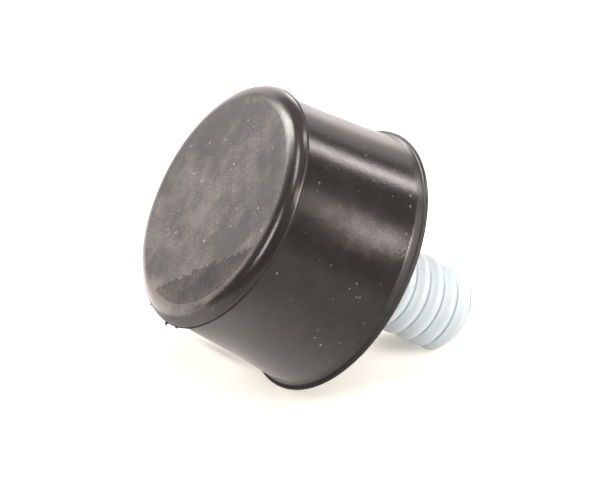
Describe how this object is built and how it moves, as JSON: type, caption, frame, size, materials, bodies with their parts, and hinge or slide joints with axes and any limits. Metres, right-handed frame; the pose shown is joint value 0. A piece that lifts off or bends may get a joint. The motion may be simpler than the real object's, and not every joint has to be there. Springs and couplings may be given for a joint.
{
  "type": "rubber foot with threaded stud",
  "caption": "Tapered rubber foot moulded round a threaded steel stud. It screws under small equipment and stands on its narrow flat face.",
  "frame": {"origin": "centre of the narrow floor face, which is the lowest plane of the part", "axes": "+Z along the axis of the foot and the stud, from the floor face towards the end of the stud"},
  "size_m": [0.02, 0.02, 0.0217],
  "materials": {
    "rubber": "semi-matt moulded black rubber, dusty on the floor face",
    "zinc": "bright zinc plating"
  },
  "bodies": {
    "root": {"rubber_body": "rubber", "stud": "zinc"}
  },
  "joints": []
}
